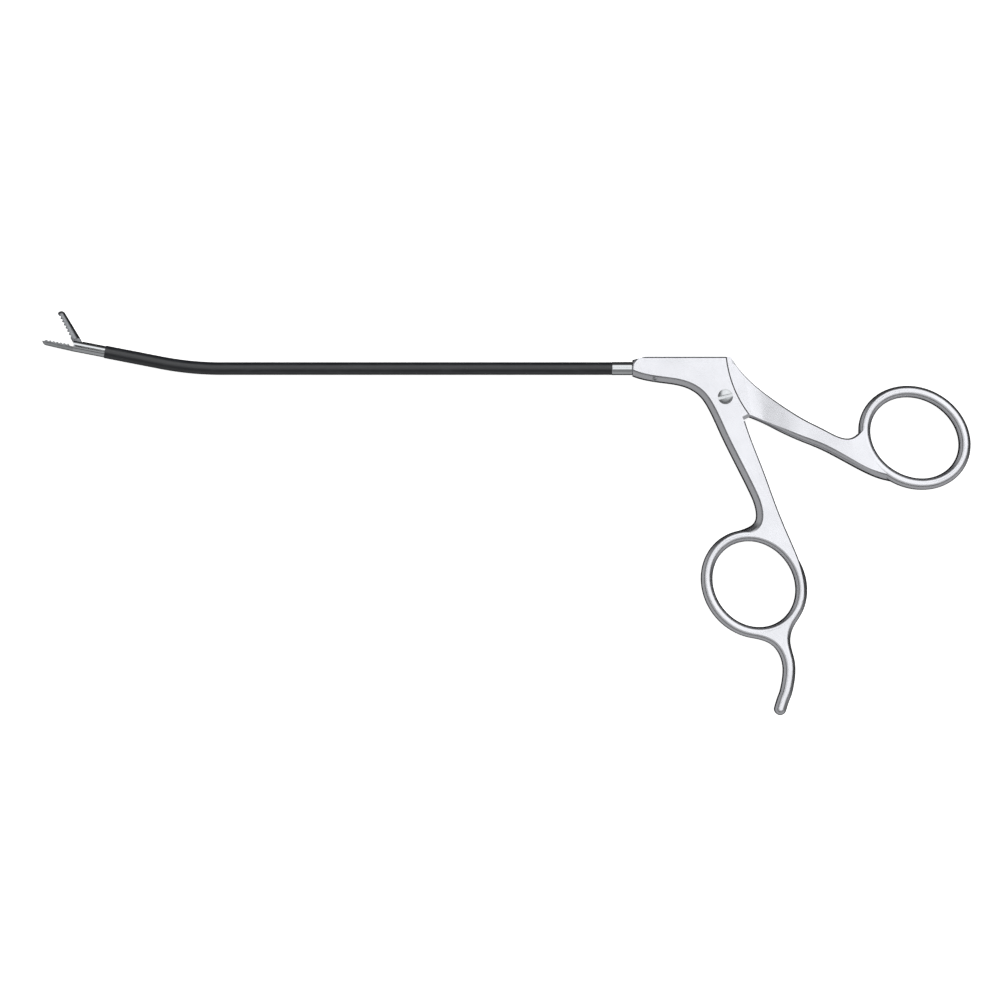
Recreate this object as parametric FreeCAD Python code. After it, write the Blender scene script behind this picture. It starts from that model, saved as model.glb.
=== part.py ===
import FreeCAD, Part
import math
import os
from FreeCAD import Placement, Rotation, Vector

# Endoscopic grasping forceps with ring handles and a malleable insulated shaft.
#
# The instrument lies on its side. The origin is where the pivot screw's axis meets the
# surface it lies on, +X points along the shaft towards the handles, +Y is towards the
# shaft side of the handles and +Z is up through the thickness. Sizes are millimetres.

os.makedirs("parts", exist_ok=True)

# Handle forging
BODY_T = 6.0             # thickness of body, bar and rings
SLOT_W = 3.5             # milled slot between the two cheeks
TANG_SIDE_GAP = 0.05     # running gap on each side of the tang
GRIND = 0.15             # ground off each forged side, which leaves a crisp edge along the roundings
EDGE_R = 0.9             # rounding on the rear and upper edges, as forged
ARM_EDGE = 0.42          # bevel on the upper edges of the arm
NOSE_R = 2.9             # rounding under the nose, as forged
BAR_R = 3.1              # rounding on the front of the bar, as forged
RING_R = 1.6             # rounding of both rings and of the finger rest
RING_W = 3.5             # width of both ring rims
SEAM_BEVEL = 0.38        # width of the bevel on the rear edge of the cheeks
SEAM_BEVEL_DEPTH = 0.34

# Rings: centre, half length and half width of the hole, and direction of its length
FINGER_RING = (Vector(8.8, -56.9, 0), 13.7, 11.9, -51.5)
THUMB_RING = (Vector(57.55, -12.45, 0), 14.1, 11.6, -31.0)

# Bar from the joint to the finger ring: front edge downwards, rear edge upwards
BAR_FRONT = [(-12.2, 2.85), (-7.9, 0.3), (-5.3, -3.3), (-1.5, -11.3), (3.4, -21.2), (7.2, -28.8),
             (9.2, -34.2), (9.0, -37.9), (5.5, -40.2), (1.0, -41.6)]
BAR_REAR = [(24.2, -60.0), (23.9, -55.3), (22.6, -50.3), (19.5, -42.8), (15.6, -33.4), (11.6, -22.4),
            (8.4, -14.3), (5.9, -7.2)]
CORNER = [(5.9, -7.2), (7.3, -6.2), (7.3, -5.2)]    # lower rear corner of the cheeks
FACET = ((5.1, -6.1), (7.5, -4.9))                 # upper edge of the sloped facet over that corner
FACET_W = 1.5                                      # width of the facet, seen from above
FACET_DEPTH = 1.7                                  # drop of the facet over its width
SEAM_MIDDLE = (3.45, 1.2)                          # a point of the cheeks' round rear edge

# Underside of the nose, from its front face's lower corner, and the growth of its round front:
# shares of the front's length and steps up from the front's radius
NOSE_UNDER = [(0, 1.1), (4.0, -0.1), (9.0, -0.9)]
NOSE_GROWTH = [(0, 0), (0.12, 0.45), (0.4, 1.05), (1, 2.0)]

# Arm of the rear handle: upper and lower points of its cross-sections, from the tang to the thumb ring
ARM_UPPER = [(5.7, 6.7), (10.6, 2.2), (17.6, -2.9), (25.9, -7.9), (33.2, -11.6), (38.6, -12.4),
             (43.3, -7.5), (50.5, -13.5)]
ARM_LOWER = [(8.3, -6.7), (12.2, -8.4), (16.6, -10.65), (24.0, -13.95), (32.0, -17.5), (39.2, -21.4),
             (46.0, -24.6), (53.2, -26.6)]
ARM_ROOT = (4.9, -5.6)                             # lower point of the first cross-section
ARM_SWELL = [0, 0, 0.35, 0.65, 0.88, 1, 1, 1]      # growth from the tang's thickness to the body's

# Finger rest under the finger ring: where both sides leave the ring, their curves and the tip
REST_START = ((23.5, -64.8), (7.8, -73.3))
REST_INNER = [(14.8, -75.9), (17.2, -80.2), (17.5, -84.5), (16.6, -89.5)]
REST_OUTER = [(20.6, -70.2), (19.8, -74.0), (21.0, -79.5), (21.2, -85.5), (20.2, -90.5)]
REST_TIP = ((15.0, -94.3), (18.5, -95.3))

# Pivot
PIVOT_R = 1.5            # shoulder of the pivot screw
PIVOT_RUN = 0.03         # running clearance of the shoulder in the tang
PIVOT_THREAD_R = 1.1     # threaded end in the lower cheek
HEAD_R = 2.3             # head of the pivot screw
HEAD_SINK = 0.7          # depth of the head's seat in the upper cheek
HEAD_RIM = 0.05          # height of the head's rim over the cheek
HEAD_DOME = 0.6          # height of the domed head over its rim
DRIVER_W = 0.8           # screwdriver slot
DRIVER_DEPTH = 0.75
DRIVER_DRAFT = 0.18      # slope of each side of the slot, as a width
DRIVER_ANGLE = 14.5      # slot direction in degrees from +X

# Box joint
BOSS_R = 3.8             # round of the tang about the pivot
SLOT_GAP = 0.3           # gap between the tang and the floor of the slot
HEEL_SLOPE = 18.0        # slope in degrees of the tang's lower side
SEAM_TOP_X = 0.45        # rear edge of the cheeks at the top
TANG_TOP_X = 1.7         # rear end of the tang's top
TANG_TOP_W = 4.9         # width of the tang at its top
TANG_HEEL_L = 7.0        # length of the tang's lower side
TANG_LAP = (6.5, 3.0)    # a point where the tang reaches into the arm
TANG_FLAT_R = 10.2       # reach of the tang's flat sides from the pivot

# Drive from the handle
CRANK_R = 8.6            # height of the shaft axis over the pivot
JAW_OPEN = 51.0          # opening of the upper jaw in degrees
BALL_R = 1.2             # ball on the pull rod
BALL_GAP = 0.05          # running gap of the ball in its pocket
ROD_R = 0.7              # pull rod and tip rod
ROD_GAP = 0.05           # running gap of the rod in its bushes and the tang's neck slot

# Shaft
NOSE_X = -28.1           # front face of the nose
NOSE_TOP = 3.55          # top of the nose over the shaft axis
NOSE_FRONT_R = 2.6       # round front face of the nose
NOSE_FRONT_L = 2.4       # length over which the nose turns from round to flat
NOSE_SLOPE_L = 3.8       # length of the slope on top of the nose
ROD_BORE_GAP = 0.2       # play of the rod in the nose behind its bush
FERRULE_L = 6.3          # bright collar in front of the nose
FERRULE_STEP = 0.07      # step from the black sleeve up to the collar
FERRULE_ROUND = 0.25     # rounding of the collar's front rim
LINER_GAP = 0.1          # play of the crimp sleeves in the liner
LINER_WALL = 0.18        # low friction liner
TUBE_WALL = 0.52         # malleable tube
SLEEVE_WALL = 0.31       # black insulation sleeve
TUBE_END_X = -14.0       # rear end of the malleable tube in the nose
BUSH_L = 3.5             # rod guide bush behind the tube
BEND_X = -153.0          # start of the bend
BEND_R = 95.0            # radius of the bend
BEND_ANGLE = 11.0        # bend in degrees
TIP_RUN = 17.5           # straight stretch between the bend and the jaw housing

# Set screw in the nose
GRUB_X = -21.4
GRUB_R = 0.8
GRUB_TILT = 35.0         # tilt in degrees out of the middle plane
GRUB_OUT = 4.25          # distance of its outer end from the shaft axis
GRUB_SOCKET_R = 0.42
GRUB_SOCKET_DEPTH = 0.6

# Inner drive train
CABLE_R = 0.5            # flexible cable in the bend
CRIMP_STEP = 0.12        # step from the rod up to the crimp sleeves
CRIMP_L = 3.2            # crimp sleeves
CABLE_STUB = 1.4         # cable length in each crimp sleeve
STUB_GAP = 0.06          # play of the cable's stub in its sleeve

# Jaw end, along the tilted tip axis from the end of the bend
JAW_R = 1.75             # radius of the housing
SPIGOT_L = 4.0           # spigot of the housing in the malleable tube
TIP_BUSH_L = 2.0         # bush in the spigot
TIP_BUSH_WALL = 0.15
WINDOW_BACK = 2.2        # rear end of the blade's channel, from the housing's rear end
WINDOW_GAP = 0.35        # height of the channel's roof over the rod
TIP_MOUTH_GAP = 0.2      # play behind the jaw's round root in the open mouth of the channel
JAW_PIVOT_S = 8.6        # jaw pivot, from the housing's rear end
JAW_PIN_R = 0.45
EAR_TOP = 0.3            # wall of the ears over the pin
JAW_PIN_RUN = 0.03       # running clearance of the pin in the jaw
EAR_R = 1.25             # front rounding of the ears
EAR_SLOT_W = 1.5         # slot between the ears
EAR_GAP = 0.05           # running gap on each side of the jaw's tang
JAW_L = 10.8             # pivot to tip of both jaws
TIP_LEAD = 0.3           # length of the upper jaw's tip past the lower one
LOWER_TIP_R = 1.5        # radius of the lower jaw at the tip
UPPER_TIP_R = 1.3        # radius of the upper jaw at the tip
JAW_RISE = 0.55          # height of the upper jaw's back over the housing
TOOTH_PITCH = 1.1
TOOTH_H = 0.5
TOOTH_COUNT = 7
TOOTH_GAP = 0.12         # gap between the teeth of the closed jaws
TOOTH_LEAD = 0.75        # smooth tip in front of the first tooth
JAW_CLEAR_R = 1.5        # jaw cleared round the ears
BLADE_W = 0.6            # flat blade of the tip rod
BLADE_GAP = 0.06         # gap on each side of the blade in the jaw's clevis
LINK_DROP = 1.19         # drop of the link pin under the jaw pivot
LINK_R = 0.3             # link pin
LINK_GAP = 0.05          # running gap of the link pin in the jaw's slots
LINK_WALL = 0.2          # wall round the jaw's slots
BLADE_END_R = 0.5        # round end of the blade

# Places that follow from the sizes
MID_Z = BODY_T / 2
TANG_T = SLOT_W - 2 * TANG_SIDE_GAP
SHAFT_Y = CRANK_R
HALF_OPEN = math.radians(JAW_OPEN / 2)
TRAVEL = 2 * LINK_DROP * math.tan(HALF_OPEN)
HANDLE_SWING = math.degrees(TRAVEL / CRANK_R)
BALL_X = -TRAVEL / 2
TILT = math.radians(BEND_ANGLE)
BEND_END = Vector(BEND_X - BEND_R * math.sin(TILT), SHAFT_Y + BEND_R * (1 - math.cos(TILT)), MID_Z)
BORE_END_X = TUBE_END_X + BUSH_L
JAW_PIVOT_N = JAW_R - EAR_TOP - JAW_PIN_R
JAW_PIVOT = Vector(TIP_RUN + JAW_PIVOT_S, JAW_PIVOT_N, 0)
LINK_N = JAW_PIVOT_N - LINK_DROP
LINK_S = JAW_PIVOT.x + TRAVEL / 2
JAW_TANG_T = EAR_SLOT_W - 2 * EAR_GAP
PIVOT_FLOOR = (BODY_T - SLOT_W) / 2    # inner face of the lower cheek
BLADE_FLOOR = JAW_PIVOT_N - LINK_DROP / math.cos(HALF_OPEN) - LINK_R - LINK_GAP - LINK_WALL
CRIMP_R = ROD_R + CRIMP_STEP
LINER_BORE_R = CRIMP_R + LINER_GAP
TUBE_BORE_R = LINER_BORE_R + LINER_WALL
TUBE_R = TUBE_BORE_R + TUBE_WALL
SLEEVE_R = TUBE_R + SLEEVE_WALL
FERRULE_R = SLEEVE_R + FERRULE_STEP
TIP_BUSH_R = ROD_R + ROD_GAP + TIP_BUSH_WALL
TOP_Y = SHAFT_Y + NOSE_TOP
UNDER_Y = SHAFT_Y - NOSE_TOP
THROUGH = 20.0           # reach of cutters past the solids

UP = Vector(0, 0, 1)


def point(x, y, z=0.0):
    return Vector(x, y, z)


def line(a, b):
    return Part.LineSegment(a, b).toShape()


def arc(a, middle, b):
    return Part.Arc(a, middle, b).toShape()


def spline(pairs):
    """A smooth curve through the given XY pairs."""
    curve = Part.BSplineCurve()
    curve.interpolate([point(x, y) for x, y in pairs])
    return curve.toShape()


def polygon(points):
    return Part.makePolygon(list(points) + [points[0]])


def slab(outline, low, high):
    """The outline, a wire or a list of edges in the XY plane, as a plate from low to high."""
    wire = outline if isinstance(outline, Part.Wire) else Part.Wire(outline)
    face = Part.Face(wire)
    face.translate(Vector(0, 0, low))
    return face.extrude(Vector(0, 0, high - low))


def rod_x(x_low, x_high, radius, y=SHAFT_Y, z=MID_Z):
    """A cylinder along X."""
    return Part.makeCylinder(radius, x_high - x_low, Vector(x_low, y, z), Vector(1, 0, 0))


def post(radius, low, high, x=0.0, y=0.0):
    """A cylinder along Z."""
    return Part.makeCylinder(radius, high - low, Vector(x, y, low), UP)


def edges_near(shape, points, reach=0.02):
    """The edges of the shape that pass through the points."""
    found = []
    for spot in points:
        vertex = Part.Vertex(spot)
        found.append(min(shape.Edges, key=lambda edge: edge.distToShape(vertex)[0]))
        gap = found[-1].distToShape(vertex)[0]
        if gap > reach:
            raise ValueError("no edge at %s, nearest is %.3f away" % (spot, gap))
    return found


def both_rims(curve, low, high, share=0.5):
    """Two points of a plan curve, on its lower and upper rim."""
    spot = curve.valueAt(curve.FirstParameter + share * (curve.LastParameter - curve.FirstParameter))
    return [Vector(spot.x, spot.y, low), Vector(spot.x, spot.y, high)]


def ellipse(ring, grow):
    """The ellipse of a ring's hole, grown by a distance all round."""
    centre, half_length, half_width, angle = ring
    curve = Part.Ellipse(Vector(0, 0, 0), half_length + grow, half_width + grow)
    shape = curve.toShape()
    shape.rotate(Vector(0, 0, 0), UP, angle)
    shape.translate(centre)
    return shape


def to_tip(shape):
    """From the tip frame, x along the tip and y over its axis, to its place on the shaft."""
    turn = Placement(Vector(0, 0, 0), Rotation(Vector(0, 1, 0), 180))
    tilt = Placement(BEND_END, Rotation(UP, -BEND_ANGLE))
    placed = shape.copy()
    placed.Placement = tilt.multiply(turn).multiply(placed.Placement)
    return placed


def core_along_shaft(x_rear, tip_end, radius):
    """A round bar that follows the shaft from x_rear to a distance tip_end past the bend."""
    circle = Part.makeCircle(radius, Vector(BEND_X, SHAFT_Y, MID_Z), Vector(1, 0, 0))
    section = Part.Face(Part.Wire(circle))
    bent = section.revolve(Vector(BEND_X, SHAFT_Y + BEND_R, MID_Z), UP, -BEND_ANGLE)
    straight = rod_x(BEND_X, x_rear, radius)
    tip = to_tip(Part.makeCylinder(radius, tip_end, Vector(0, 0, 0), Vector(1, 0, 0)))
    return straight.fuse(bent).fuse(tip).removeSplitter()


def tube_along_shaft(x_rear, tip_end, outer, inner):
    """A bent tube from x_rear to a distance tip_end past the bend."""
    return core_along_shaft(x_rear, tip_end, outer).cut(core_along_shaft(x_rear, tip_end, inner))


def smooth(points, start, end):
    """A smooth curve through the points with given directions at both ends."""
    reach = sum((b - a).Length for a, b in zip(points, points[1:]))
    curve = Part.BSplineCurve()
    curve.interpolate(Points=points, InitialTangent=Vector(start).normalize() * reach,
                      FinalTangent=Vector(end).normalize() * reach)
    return curve.toShape()


def ring_rim(ring):
    """The outer ellipse of a ring as a curve."""
    centre, half_length, half_width, angle = ring
    rim = Part.Ellipse(Vector(0, 0, 0), half_length + RING_W, half_width + RING_W)
    rim.rotate(Placement(Vector(0, 0, 0), Rotation(UP, angle)))
    rim.translate(centre)
    return rim


def rounded_ring(plate, ring, outer_curve):
    """The plate with the ring's hole, its outer edges and the hole's edges rounded."""
    hole = ellipse(ring, 0)
    plate = plate.makeFillet(RING_R, edges_near(plate, both_rims(outer_curve, 0, BODY_T)))
    plate = plate.cut(slab(Part.Wire(hole), -THROUGH, THROUGH))
    return plate.makeFillet(RING_R, edges_near(plate, both_rims(hole, 0, BODY_T)))


def finger_ring():
    """The finger ring with its hooked finger rest."""
    rim = ring_rim(FINGER_RING)
    right, left = [rim.parameter(point(*start)) for start in REST_START]
    around = Part.ArcOfEllipse(rim, right, left + 2 * math.pi).toShape()
    tip_left, tip_right = [point(*end) for end in REST_TIP]
    across = tip_right - tip_left
    down = Vector(across.y, -across.x, 0).normalize()
    inner_side = smooth([rim.value(left)] + [point(*spot) for spot in REST_INNER] + [tip_left],
                        around.tangentAt(around.LastParameter), down)
    outer_side = smooth([rim.value(right)] + [point(*spot) for spot in REST_OUTER] + [tip_right],
                        around.tangentAt(around.FirstParameter) * -1, down)
    tip = arc(tip_left, (tip_left + tip_right) / 2 + down * across.Length / 2, tip_right)
    plate = slab([around, inner_side, tip, outer_side], 0, BODY_T)
    return rounded_ring(plate, FINGER_RING, around)


def thumb_ring():
    rim = ring_rim(THUMB_RING).toShape()
    return rounded_ring(slab([rim], 0, BODY_T), THUMB_RING, rim)


def inside_rim(ring):
    """A cutter that takes away what would reach into a ring's hole."""
    return slab(Part.Wire(ellipse(ring, RING_W / 2)), -THROUGH, THROUGH)


def body_and_bar():
    """Nose, cheeks and bar in one plate, with the wide rounding along the front."""
    nose_under = [(NOSE_X + x, UNDER_Y + y) for x, y in NOSE_UNDER]
    front = spline(nose_under + BAR_FRONT)
    ring_centre = FINGER_RING[0]
    into_ring = polygon_edges([BAR_FRONT[-1], (ring_centre.x, ring_centre.y), BAR_REAR[0]])
    rear = spline(BAR_REAR)
    corner = polygon_edges(CORNER)
    seam = arc(point(*CORNER[-1]), point(*SEAM_MIDDLE), point(SEAM_TOP_X, TOP_Y))
    top = polygon_edges([(SEAM_TOP_X, TOP_Y), (NOSE_X + NOSE_SLOPE_L, TOP_Y), (NOSE_X, TOP_Y - 1.0),
                         nose_under[0]])
    low = -GRIND
    high = BODY_T + GRIND
    plate = slab([front] + into_ring + [rear] + corner + [seam] + top, low, high)
    plate = plate.makeFillet(EDGE_R, edges_near(plate, both_rims(top[0], low, high)))
    plate = plate.makeFillet(NOSE_R, BAR_R, edges_near(plate, both_rims(front, low, high)))
    plate = plate.makeFillet(EDGE_R, edges_near(plate, both_rims(rear, low, high)))
    ground = plate.common(post(5 * THROUGH, 0, BODY_T))
    return ground.cut(seam_bevels(seam)).cut(corner_facets()).cut(inside_rim(FINGER_RING))


def seam_bevels(seam):
    """Cutters for the bevels along the cheeks' rear edge, a cone's skin about the seam's arc."""
    circle = seam.Curve
    low_r = circle.Radius
    high_r = low_r + SEAM_BEVEL
    depth = BODY_T - SEAM_BEVEL_DEPTH
    face = Part.Face(polygon([point(low_r - 1, depth), point(low_r, depth), point(high_r, BODY_T),
                              point(high_r, BODY_T + 1), point(low_r - 1, BODY_T + 1)]))
    face.rotate(Vector(0, 0, 0), Vector(1, 0, 0), 90)
    upper = face.revolve(Vector(0, 0, 0), UP, 360)
    upper.translate(Vector(circle.Center.x, circle.Center.y, 0))
    return upper.fuse(upper.mirror(Vector(0, 0, MID_Z), UP))


def corner_facets():
    """Cutters for the sloped facets over the cheeks' lower rear corner, above and below."""
    start, end = [point(*spot) for spot in FACET]
    along = end - start
    section = Part.Face(polygon([point(0, 0, BODY_T), point(0, -FACET_W, BODY_T - FACET_DEPTH),
                                 point(0, -FACET_W, BODY_T + 1), point(0, 0, BODY_T + 1)]))
    wedge = section.extrude(Vector(2 * along.Length, 0, 0))
    wedge.rotate(Vector(0, 0, 0), UP, math.degrees(math.atan2(along.y, along.x)))
    wedge.translate(start)
    return wedge.fuse(wedge.mirror(Vector(0, 0, MID_Z), UP))


def polygon_edges(pairs):
    spots = [point(x, y) for x, y in pairs]
    return [line(a, b) for a, b in zip(spots, spots[1:])]


def nose_round():
    """A cutter that turns the front end of the nose round about the shaft axis."""
    outside = 4 * BODY_T
    curve = [(NOSE_X + share * NOSE_FRONT_L, NOSE_FRONT_R + step) for share, step in NOSE_GROWTH]
    profile = spline(curve)
    edges = polygon_edges([curve[-1], (NOSE_X + NOSE_FRONT_L, outside), (NOSE_X - 1.0, outside),
                           (NOSE_X - 1.0, NOSE_FRONT_R), curve[0]])
    face = Part.Face(Part.Wire([profile] + edges))
    cutter = face.revolve(Vector(0, 0, 0), Vector(1, 0, 0), 360)
    cutter.translate(Vector(0, SHAFT_Y, MID_Z))
    return cutter


def joint_slot():
    """The slot for the tang: a round floor about the pivot and a straight wall behind the nose."""
    wall = BOSS_R + SLOT_GAP
    slope = math.radians(HEEL_SLOPE + HANDLE_SWING)
    floor_end = point(-wall * math.sin(slope), -wall * math.cos(slope))
    far = floor_end + point(math.cos(slope), -math.sin(slope)) * THROUGH
    half = (math.pi / 2 - slope) / 2
    middle = point(-wall * math.cos(half), -wall * math.sin(half))
    edges = [arc(point(-wall, 0), middle, floor_end)]
    edges += polygon_edges([(floor_end.x, floor_end.y), (far.x, far.y), (THROUGH, THROUGH),
                            (-wall, THROUGH), (-wall, 0)])
    return slab(edges, MID_Z - SLOT_W / 2, MID_Z + SLOT_W / 2)


def grub_axis():
    """A point on the shaft axis and the outward direction of the set screw."""
    tilt = math.radians(GRUB_TILT)
    return Vector(GRUB_X, SHAFT_Y, MID_Z), Vector(0, -math.cos(tilt), math.sin(tilt))


def front_handle():
    """The forging with nose, cheeks, bar, finger ring and finger rest, and its bores."""
    handle = body_and_bar().fuse(finger_ring())
    handle = handle.cut(nose_round())
    handle = handle.cut(joint_slot())
    handle = handle.cut(rod_x(NOSE_X - 1, BORE_END_X, TUBE_R))
    handle = handle.cut(rod_x(BORE_END_X - 1, 0, ROD_R + ROD_BORE_GAP))
    handle = handle.cut(post(PIVOT_R, PIVOT_FLOOR, BODY_T))
    handle = handle.cut(post(PIVOT_THREAD_R, 0, BODY_T))
    handle = handle.cut(post(HEAD_R, BODY_T - HEAD_SINK, BODY_T + 1))
    start, outward = grub_axis()
    handle = handle.cut(Part.makeCylinder(GRUB_R, THROUGH, start, outward))
    return handle.removeSplitter()


def tang():
    """The flat tongue of the rear handle with its boss, pivot bore and ball pocket."""
    slope = math.radians(HEEL_SLOPE)
    heel_start = point(-BOSS_R * math.sin(slope), -BOSS_R * math.cos(slope))
    heel = heel_start + point(math.cos(slope), -math.sin(slope)) * TANG_HEEL_L
    half = (math.pi / 2 - slope) / 2
    middle = point(-BOSS_R * math.cos(half), -BOSS_R * math.sin(half))
    low = MID_Z - TANG_T / 2
    high = MID_Z + TANG_T / 2
    edges = [arc(point(-BOSS_R, 0), middle, heel_start)]
    edges += polygon_edges([(heel_start.x, heel_start.y), (heel.x, heel.y), TANG_LAP, (TANG_TOP_X, TOP_Y),
                            (TANG_TOP_X - TANG_TOP_W, TOP_Y), (-BOSS_R, 0)])
    plate = slab(edges, low, high)
    plate = plate.cut(post(PIVOT_R + PIVOT_RUN, low - 1, high + 1))
    return plate.cut(ball_pocket())


def ball_pocket():
    """A round pocket, open at the top, with a neck slot for the rod towards the shaft."""
    swing = math.radians(HANDLE_SWING / 2)
    seat = point(BALL_X, CRANK_R * math.cos(swing), MID_Z)
    radius = BALL_R + BALL_GAP
    pocket = Part.makeCylinder(radius, THROUGH, seat - Vector(0, BALL_R / 2, 0), Vector(0, 1, 0))
    seat_round = Part.makeSphere(radius, seat - Vector(0, BALL_R / 4, 0))
    neck = Part.makeBox(THROUGH, THROUGH, 2 * (ROD_R + ROD_GAP))
    neck.translate(Vector(BALL_X - THROUGH, SHAFT_Y - ROD_R - 3 * ROD_GAP, MID_Z - ROD_R - ROD_GAP))
    neck_closed = neck.copy()
    neck_closed.rotate(seat, UP, HANDLE_SWING)
    return pocket.fuse(seat_round).fuse(neck).fuse(neck_closed)


def arm_section(upper, lower, thickness):
    """A D section of the arm: square at the upper point, and round with crisp edges at the lower one."""
    along = (lower - upper).normalize()
    width = (lower - upper).Length
    half = thickness / 2
    big = half + GRIND
    small = ARM_EDGE
    corner = width - big + math.sqrt(big ** 2 - half ** 2)

    def at(u, z):
        return upper + along * u + Vector(0, 0, MID_Z + z)

    return Part.Wire([
        line(at(0, small - half), at(0, half - small)),
        line(at(0, half - small), at(small, half)),
        line(at(small, half), at(corner, half)),
        arc(at(corner, half), at(width, 0), at(corner, -half)),
        line(at(corner, -half), at(small, -half)),
        line(at(small, -half), at(0, small - half)),
    ])


def arm():
    """The arm between tang and thumb ring: wide and thin at the joint, narrow and thick at the ring."""
    uppers = [(TANG_TOP_X, TOP_Y)] + ARM_UPPER
    lowers = [ARM_ROOT] + ARM_LOWER
    thicknesses = [TANG_T] + [TANG_T + share * (BODY_T - TANG_T) for share in ARM_SWELL]
    sections = [arm_section(point(*upper), point(*lower), thick)
                for upper, lower, thick in zip(uppers, lowers, thicknesses)]
    loft = Part.makeLoft(sections, True, False)
    between_faces = post(5 * THROUGH, 0, BODY_T)
    under_tang = post(TANG_FLAT_R, -1, MID_Z - TANG_T / 2)
    over_tang = post(TANG_FLAT_R, MID_Z + TANG_T / 2, BODY_T + 1)
    return loft.common(between_faces).cut(under_tang).cut(over_tang).cut(inside_rim(THUMB_RING))


def rear_handle():
    """The rear forging: tang, arm and thumb ring."""
    return arm().fuse(tang()).fuse(thumb_ring())


def pivot_screw():
    """Shoulder screw: slotted head, shoulder through cheek and tang, threaded end in the lower cheek."""
    head_low = BODY_T - HEAD_SINK
    head_high = BODY_T + HEAD_RIM + HEAD_DOME
    dome_r = (HEAD_R ** 2 + HEAD_DOME ** 2) / (2 * HEAD_DOME)
    head = post(HEAD_R, head_low, head_high)
    head = head.common(Part.makeSphere(dome_r, Vector(0, 0, head_high - dome_r)))
    screw = head.fuse(post(PIVOT_R, PIVOT_FLOOR, head_low)).fuse(post(PIVOT_THREAD_R, 0, PIVOT_FLOOR))
    floor = head_high - DRIVER_DEPTH
    wide = DRIVER_W / 2 + DRIVER_DRAFT
    section = Part.Face(polygon([point(-2 * HEAD_R, y, z) for y, z in
                                 ((-DRIVER_W / 2, floor), (DRIVER_W / 2, floor), (wide, head_high),
                                  (wide, head_high + 1), (-wide, head_high + 1), (-wide, head_high))]))
    slot = section.extrude(Vector(4 * HEAD_R, 0, 0))
    slot.rotate(Vector(0, 0, 0), UP, DRIVER_ANGLE)
    return screw.cut(slot).removeSplitter()


def shaft_set_screw():
    """Grub screw with a socket, its inner end on the malleable tube."""
    start, outward = grub_axis()
    screw = Part.makeCylinder(GRUB_R, GRUB_OUT, start, outward)
    socket = Part.makeCylinder(GRUB_SOCKET_R, GRUB_SOCKET_DEPTH + 1,
                               start + outward * (GRUB_OUT - GRUB_SOCKET_DEPTH), outward)
    return screw.cut(rod_x(GRUB_X - THROUGH, GRUB_X + THROUGH, TUBE_R)).cut(socket)


def shaft_ferrule():
    collar = rod_x(NOSE_X - FERRULE_L, NOSE_X, FERRULE_R)
    front_rim = Vector(NOSE_X - FERRULE_L, SHAFT_Y + FERRULE_R, MID_Z)
    collar = collar.makeFillet(FERRULE_ROUND, edges_near(collar, [front_rim]))
    return collar.cut(rod_x(NOSE_X - FERRULE_L - 1, NOSE_X + 1, TUBE_R))


def rod_guide_bush():
    bush = rod_x(TUBE_END_X, BORE_END_X, TUBE_R)
    return bush.cut(rod_x(TUBE_END_X - 1, BORE_END_X + 1, ROD_R + ROD_GAP))


def malleable_tube():
    return tube_along_shaft(TUBE_END_X, TIP_RUN, TUBE_R, TUBE_BORE_R)


def insulation_sleeve():
    return tube_along_shaft(NOSE_X - FERRULE_L, TIP_RUN, SLEEVE_R, TUBE_R)


def tube_liner():
    return tube_along_shaft(TUBE_END_X, TIP_RUN - SPIGOT_L, TUBE_BORE_R, LINER_BORE_R)


def rod_ball():
    """Ball end brazed on the pull rod."""
    ball = Part.makeSphere(BALL_R, Vector(BALL_X, SHAFT_Y, MID_Z))
    return ball.cut(rod_x(BALL_X - THROUGH, BALL_X, ROD_R))


def pull_rod():
    """Straight rod from the ball to the bend, with a thinner front end for the crimp sleeve."""
    shoulder_x = BEND_X + CRIMP_L
    rod = rod_x(shoulder_x, BALL_X, ROD_R)
    return rod.fuse(rod_x(BEND_X + CABLE_STUB + STUB_GAP, shoulder_x, CABLE_R)).removeSplitter()


def rear_crimp():
    sleeve = rod_x(BEND_X + STUB_GAP, BEND_X + CRIMP_L, CRIMP_R)
    sleeve = sleeve.cut(rod_x(BEND_X, BEND_X + CABLE_STUB + STUB_GAP, CABLE_R + STUB_GAP))
    return sleeve.cut(rod_x(BEND_X, BEND_X + CRIMP_L + 1, CABLE_R))


def bend_cable():
    """The flexible stretch, an arc with a short straight stub at each end."""
    circle = Part.makeCircle(CABLE_R, Vector(BEND_X, SHAFT_Y, MID_Z), Vector(1, 0, 0))
    section = Part.Face(Part.Wire(circle))
    centre = Vector(BEND_X, SHAFT_Y + BEND_R, MID_Z)
    bent = section.revolve(centre, UP, -BEND_ANGLE)
    front = to_tip(Part.makeCylinder(CABLE_R, CABLE_STUB, Vector(0, 0, 0), Vector(1, 0, 0)))
    return bent.fuse(rod_x(BEND_X, BEND_X + CABLE_STUB, CABLE_R)).fuse(front).removeSplitter()


def along_tip(s_low, s_high, radius, n=0.0):
    """A cylinder along the tip axis, in the tip frame."""
    return Part.makeCylinder(radius, s_high - s_low, Vector(s_low, n, 0), Vector(1, 0, 0))


def across_tip(radius, width, centre):
    """A cylinder across the tip, in the tip frame."""
    return Part.makeCylinder(radius, width, Vector(centre.x, centre.y, -width / 2), UP)


def tip_box(s_low, s_high, n_low, n_high, width):
    box = Part.makeBox(s_high - s_low, n_high - n_low, width)
    box.translate(Vector(s_low, n_low, -width / 2))
    return box


def front_crimp():
    sleeve = along_tip(STUB_GAP, CRIMP_L, CRIMP_R)
    sleeve = sleeve.cut(along_tip(0, CABLE_STUB + STUB_GAP, CABLE_R + STUB_GAP))
    return to_tip(sleeve.cut(along_tip(0, CRIMP_L + 1, CABLE_R)))


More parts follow.
